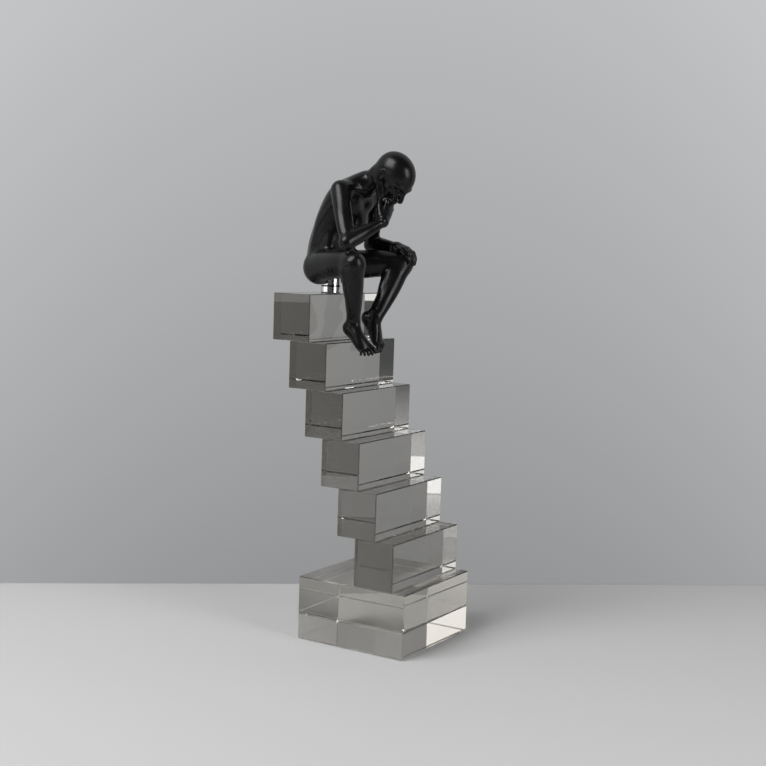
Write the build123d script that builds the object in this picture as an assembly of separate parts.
"""Crystal staircase ornament with a seated pensive figure.

Millimetres, +Z up. The origin is the centre of the base's underside. The stairs come down towards +X,
the figure faces +X, and its left side is +Y.
"""

import os

from build123d import *

# Crystal tower
tower_width = 82.0          # along Y, shared by base and blocks, whose sides are flush
block_depth = 28.3
block_height = 30.0
block_count = 6
tread = 13.4                # how far each block stands out from the one above
base_depth = 79.0
base_ledge = 9.2            # from the base's front face to the lowest block's front face
base_lower_height = 17.3
base_upper_height = 23.1
edge_bevel = 0.5            # polished bevel on every crystal edge
film_thickness = 0.1        # clear adhesive between crystals and under the post

# Chrome post and its hidden stud
post_diameter = 13.2
post_bevel = 0.5            # two facing bevels make the groove between flange and collar
post_forward = 1.9          # from the middle of the top block
flange_height = 4.5
collar_height = 6.0
stud_diameter = 5.0
stud_bevel = 0.4
stud_in_figure = 8.0
flange_web = 1.3            # metal left under the stud
insert_wall = 1.5
insert_end = 1.0            # brass left above the stud
thread_clearance = 0.05     # between the stud and each bore
collar_clearance = 0.25     # between the collar and the figure's recess round it

# Girth of the figure, as radii at each place
hip_radius = 10.6
thigh_radius = 9.0
knee_radius = 8.0
thigh_lift = 1.4            # how far the middle of a thigh is above the line from hip to knee
calf_radius = 7.4
shin_radius = 5.6
ankle_radius = 4.1
shoulder_radius = 7.4
upper_arm_radius = 6.2
elbow_radius = 5.3
forearm_radius = 5.2
wrist_radius = 3.4
hand_radius = 4.5
neck_radius = 6.6
finger_radius = 1.7

# Head, on its own axes: up through the crown, forward through the face
head_pitch = 33.0
head_height = 27.6
head_length = 29.0
head_breadth = 21.4

# Foot, as half sizes
heel_half_width = 3.9
ball_half_width = 5.2
instep_half_height = 4.8
toe_half_height = 1.9

# Posture as (forward, left, up) from the post's axis at the collar's top
right_hip = Vector(-1.9, -11, 6)
left_hip = Vector(-1.9, 11, 6)
right_knee = Vector(39.1, -33.6, 9)
left_knee = Vector(35.6, 32, 9.5)
right_shoulder = Vector(18.9, -20, 55.5)
left_shoulder = Vector(20.1, 20, 55.5)
right_elbow = Vector(34.1, -34, 22.6)
left_elbow = Vector(7.1, 35, 28)
right_wrist = Vector(46.1, -11, 36)
left_wrist = Vector(29.6, 33, 22.4)
right_knuckles = Vector(45.1, -3, 46.5)
left_knuckles = Vector(37.7, 33.2, 19.6)
neck_base = Vector(21.1, 0, 59.5)
neck_top = Vector(38.1, 0, 65)
head_centre = Vector(45.4, 0, 65.8)

# Feet as (forward, left, up) from the front top edge of the second block, which they hang in front of
right_ankle = Vector(3, -17, 14.5)
right_heel = Vector(1.3, -18, 8.6)
right_toes = Vector(18, -18, -3.3)
left_ankle = Vector(4.7, 9, 15.8)
left_heel = Vector(-1.5, 8, 15.1)
left_toes = Vector(9, 8, -2.8)

# Torso sections from the seat to the neck: forward, up, half depth, half width
torso_sections = [
    (-5.9, -3.5, 6.0, 10.0),
    (-5.1, 6.5, 12.0, 16.0),
    (-3.4, 16.5, 11.0, 14.5),
    (-1.1, 25.5, 11.0, 13.8),
    (5.9, 39.5, 13.0, 17.5),
    (12.3, 51.0, 12.0, 18.5),
    (19.6, 58.5, 8.0, 13.0),
    (24.1, 61.5, 6.5, 7.5),
]

# Places worked out from the sizes above
base_height = base_lower_height + film_thickness + base_upper_height
lowest_block_x = base_depth / 2 - base_ledge - block_depth / 2
block_pitch = block_height + film_thickness
top_block_x = lowest_block_x - (block_count - 1) * tread
tower_top = base_height + block_count * block_pitch
flange_floor = tower_top + film_thickness
collar_floor = flange_floor + flange_height
stud_floor = flange_floor + flange_web
insert_diameter = stud_diameter + 2 * (thread_clearance + insert_wall)
insert_length = stud_in_figure + insert_end
seat = Vector(top_block_x + post_forward, 0, collar_floor + collar_height)
second_block_edge = Vector(top_block_x + block_depth / 2 + tread, 0, tower_top - block_pitch)


def crystal(depth, height, x, floor):
    """A polished crystal with bevelled edges, centred on the tower's width."""
    box = Pos(x, 0, floor) * Box(depth, tower_width, height, align=(Align.CENTER, Align.CENTER, Align.MIN))
    return chamfer(box.edges(), edge_bevel)


def bond_film(x_low, x_high, floor):
    """A film of adhesive over a flat contact face, from bevel to bevel."""
    depth = x_high - x_low - 2 * edge_bevel
    width = tower_width - 2 * edge_bevel
    film = Box(depth, width, film_thickness, align=(Align.CENTER, Align.CENTER, Align.MIN))
    return Pos((x_low + x_high) / 2, 0, floor) * film


def disc(radius, height, floor):
    """An upright cylinder on the post's axis."""
    shape = Cylinder(radius, height, align=(Align.CENTER, Align.CENTER, Align.MIN))
    return Pos(seat.X, seat.Y, floor) * shape


def circle_edges(shape):
    """The round edges of an upright disc."""
    return shape.edges().filter_by(GeomType.CIRCLE)


def section_plane(centre, run, side):
    """A plane at a centre, square to the run, with its first axis as near to side as it can be."""
    axis = run.normalized()
    return Plane(centre, x_dir=side - axis * side.dot(axis), z_dir=axis)


def run_at(centres, index):
    """The direction of a chain of centres at one of them."""
    before = centres[max(index - 1, 0)]
    after = centres[min(index + 1, len(centres) - 1)]
    return after - before


def oval_limb(stations, side):
    """A smooth limb through (centre, half width, half depth) stations."""
    centres = [station[0] for station in stations]
    sections = []
    for index, (centre, half_width, half_depth) in enumerate(stations):
        plane = section_plane(centre, run_at(centres, index), side)
        sections.append(plane * Ellipse(half_width, half_depth))
    return loft(sections)


def limb(stations, side=Vector(0, 1, 0.2)):
    """A smooth round limb through (centre, radius) stations."""
    return oval_limb([(centre, radius, radius) for centre, radius in stations], side)


def ball(centre, radius):
    """A rounded joint of the body."""
    return Pos(centre.X, centre.Y, centre.Z) * Sphere(radius)


def between(start, end, share):
    """The point at a share of the way from start to end."""
    return start + (end - start) * share


def torso():
    """The trunk from seat to neck, bent forward."""
    stations = []
    for forward, up, half_depth, half_width in torso_sections:
        stations.append((seat + Vector(forward, 0, up), half_width, half_depth))
    return oval_limb(stations, Vector(0, 1, 0))


def leg(hip, knee, ankle, heel, toes):
    """One leg from hip to ankle, bent at the knee, and its foot."""
    hip = seat + hip
    knee = seat + knee
    ankle = second_block_edge + ankle
    heel = second_block_edge + heel
    toes = second_block_edge + toes
    limb_stations = [
        (between(hip, knee, -0.15), hip_radius * 0.65),
        (hip, hip_radius),
        (between(hip, knee, 0.5) + Vector(0, 0, thigh_lift), thigh_radius),
        (knee, knee_radius),
        (between(knee, ankle, 0.32), calf_radius),
        (between(knee, ankle, 0.68), shin_radius),
        (ankle, ankle_radius),
        (between(heel, toes, 0.38), ankle_radius * 0.8),
    ]
    foot_stations = [
        (between(heel, toes, -0.2), heel_half_width * 0.5, heel_half_width * 0.5),
        (heel, heel_half_width, heel_half_width * 1.05),
        (between(heel, toes, 0.4), heel_half_width * 1.08, instep_half_height),
        (between(heel, toes, 0.78), ball_half_width, instep_half_height * 0.72),
        (toes, ball_half_width * 0.9, toe_half_height),
        (between(heel, toes, 1.12), ball_half_width * 0.6, toe_half_height * 0.6),
    ]
    return [limb(limb_stations), oval_limb(foot_stations, Vector(0, 1, 0))]


def arm(shoulder, elbow, wrist):
    """One arm: from the neck over the shoulder to the elbow, then the forearm."""
    shoulder = seat + shoulder
    elbow = seat + elbow
    wrist = seat + wrist
    upper_arm = limb([
        (between(seat + neck_base, shoulder, 0.35), shoulder_radius * 0.75),
        (shoulder, shoulder_radius),
        (between(shoulder, elbow, 0.5), upper_arm_radius),
        (elbow, elbow_radius * 0.92),
    ], Vector(1, 0, 0))
    forearm = limb([
        (elbow, elbow_radius * 0.92),
        (between(elbow, wrist, 0.35), forearm_radius),
        (wrist, wrist_radius),
    ], Vector(0, 0, 1))
    return [upper_arm, ball(elbow, elbow_radius), forearm]


def right_hand():
    """The hand under the chin, closed, with its thumb along its side."""
    wrist = seat + right_wrist
    knuckles = seat + right_knuckles
    palm = limb([
        (between(wrist, knuckles, -0.15), wrist_radius * 0.9),
        (between(wrist, knuckles, 0.45), hand_radius * 0.95),
        (knuckles, hand_radius),
    ], Vector(1, 0, 0))
    fold = knuckles + Vector(-5, 1.5, 1.2)
    finger_tips = knuckles + Vector(-7.5, 0.5, -4)
    fingers = limb([
        (knuckles, hand_radius * 0.75),
        (fold, hand_radius * 0.72),
        (finger_tips, hand_radius * 0.6),
    ])
    thumb = limb([
        (between(wrist, knuckles, 0.25) + Vector(-1.5, -1, 0), finger_radius * 1.3),
        (between(wrist, knuckles, 0.75) + Vector(-3, -4.4, 0.5), finger_radius * 1.2),
        (knuckles + Vector(-5, -3.4, 2), finger_radius),
    ], Vector(1, 0, 0))
    return [palm, ball(knuckles, hand_radius * 1.05), fingers, thumb]


def left_hand():
    """The hand that lies over the knee, with its fingers down the front."""
    wrist = seat + left_wrist
    knuckles = seat + left_knuckles
    palm_half_width = 3 * finger_radius
    palm = oval_limb([
        (between(wrist, knuckles, -0.25), wrist_radius, wrist_radius * 0.9),
        (between(wrist, knuckles, 0.5), palm_half_width * 0.9, finger_radius * 1.7),
        (knuckles, palm_half_width, finger_radius * 1.5),
        (between(wrist, knuckles, 1.2), palm_half_width * 0.9, finger_radius * 0.8),
    ], Vector(0, 1, 0))
    pieces = [palm]
    finger_pitch = 1.72 * finger_radius
    for number in range(4):
        root = knuckles + Vector(-1, (number - 1.5) * finger_pitch, -0.3)
        pieces.append(limb([
            (root, finger_radius),
            (root + Vector(3.9, 0, -3), finger_radius),
            (root + Vector(5.2, 0, -7.8), finger_radius * 0.9),
            (root + Vector(5.0, 0, -9.2), finger_radius * 0.4),
        ]))
    thumb_root = between(wrist, knuckles, 0.4) + Vector(0, -palm_half_width * 0.7, -0.5)
    pieces.append(limb([
        (thumb_root, finger_radius * 1.2),
        (thumb_root + Vector(4.5, -2.5, -1.8), finger_radius * 1.1),
        (thumb_root + Vector(8.5, -2.6, -5), finger_radius * 0.9),
    ]))
    return pieces


def head():
    """Neck and head, bowed forward, with a plain nose and ears."""
    centre = seat + head_centre
    tilt = Rot(0, head_pitch, 0)
    up = Vector(0, 0, 1).rotate(Axis.Y, head_pitch)
    forward = Vector(1, 0, 0).rotate(Axis.Y, head_pitch)
    half_length = head_length / 2
    half_breadth = head_breadth / 2

    def place(share_forward, share_up):
        return centre + forward * share_forward * head_length + up * share_up * head_height

    skull = []
    for share_up, share_forward, length_share, breadth_share in [
        (-0.48, 0.27, 0.26, 0.32),
        (-0.36, 0.20, 0.50, 0.58),
        (-0.18, 0.07, 0.84, 0.82),
        (0.04, 0.00, 1.00, 0.97),
        (0.22, -0.02, 0.98, 1.00),
        (0.36, -0.03, 0.80, 0.84),
        (0.46, -0.04, 0.48, 0.52),
        (0.50, -0.04, 0.16, 0.18),
    ]:
        plane = section_plane(place(share_forward, share_up), up, Vector(0, 1, 0))
        skull.append(plane * Ellipse(breadth_share * half_breadth, length_share * half_length))
    nose = limb([
        (place(0.44, 0.06), head_breadth * 0.05),
        (place(0.50, -0.08), head_breadth * 0.08),
        (place(0.44, -0.16), head_breadth * 0.07),
    ])
    neck = limb([
        (seat + neck_base, neck_radius * 1.1),
        (between(seat + neck_base, seat + neck_top, 0.5), neck_radius),
        (seat + neck_top, neck_radius * 0.95),
    ])
    pieces = [loft(skull), nose, neck]
    for side in (-1, 1):
        ear_place = place(-0.04, -0.06) + Vector(0, side * half_breadth * 0.92, 0)
        ear = tilt * Cylinder(head_height * 0.12, head_breadth * 0.16, rotation=(90, 0, 0))
        pieces.append(Pos(ear_place.X, ear_place.Y, ear_place.Z) * ear)
    return pieces


def figure():
    """The whole casting, recessed round the collar and bored for its insert."""
    solids = [torso()]
    solids += leg(right_hip, right_knee, right_ankle, right_heel, right_toes)
    solids += leg(left_hip, left_knee, left_ankle, left_heel, left_toes)
    solids += head()
    solids += arm(right_shoulder, right_elbow, right_wrist)
    solids += arm(left_shoulder, left_elbow, left_wrist)
    solids += right_hand()
    solids += left_hand()
    body = solids[0].fuse(*solids[1:])
    recess = disc(post_diameter / 2 + collar_clearance, collar_height + flange_height, flange_floor)
    bore = disc(insert_diameter / 2, insert_length, seat.Z)
    return body - recess - bore


def post_pieces():
    """Flange, collar, stud and insert on the post's axis."""
    radius = post_diameter / 2
    stud_length = seat.Z + stud_in_figure - stud_floor
    stud = disc(stud_diameter / 2, stud_length, stud_floor)
    stud_bore = disc(stud_diameter / 2 + thread_clearance, stud_length + thread_clearance, stud_floor)
    flange = disc(radius, flange_height, flange_floor)
    collar = disc(radius, collar_height, collar_floor)
    insert = disc(insert_diameter / 2, insert_length, seat.Z)
    return {
        "post_flange": chamfer(circle_edges(flange), post_bevel) - stud_bore,
        "post_collar": chamfer(circle_edges(collar), post_bevel) - stud_bore,
        "post_stud": chamfer(circle_edges(stud), stud_bevel),
        "figure_insert": insert - stud_bore,
    }


def tower_pieces():
    """Base slabs, step blocks and the films between them."""
    half_depth = base_depth / 2
    upper_floor = base_lower_height + film_thickness
    pieces = {
        "base_lower_slab": crystal(base_depth, base_lower_height, 0, 0),
        "base_bond_film": bond_film(-half_depth, half_depth, base_lower_height),
        "base_upper_slab": crystal(base_depth, base_upper_height, 0, upper_floor),
    }
    for number in range(1, block_count + 1):
        x = lowest_block_x - (number - 1) * tread
        film_floor = base_height + (number - 1) * block_pitch
        front = x + block_depth / 2
        back = x - block_depth / 2 if number == 1 else front + tread - block_depth
        pieces[f"step_bond_film_{number}"] = bond_film(back, front, film_floor)
        block_floor = film_floor + film_thickness
        pieces[f"step_block_{number}"] = crystal(block_depth, block_height, x, block_floor)
    return pieces


def write(pieces):
    """Write each piece to its own file."""
    os.makedirs("parts", exist_ok=True)
    for name, shape in pieces.items():
        export_step(shape, f"parts/{name}.step")


pieces = tower_pieces()
pieces.update(post_pieces())
pieces["post_bond_film"] = disc(post_diameter / 2 - post_bevel, film_thickness, tower_top)
pieces["figure"] = figure()
write(pieces)
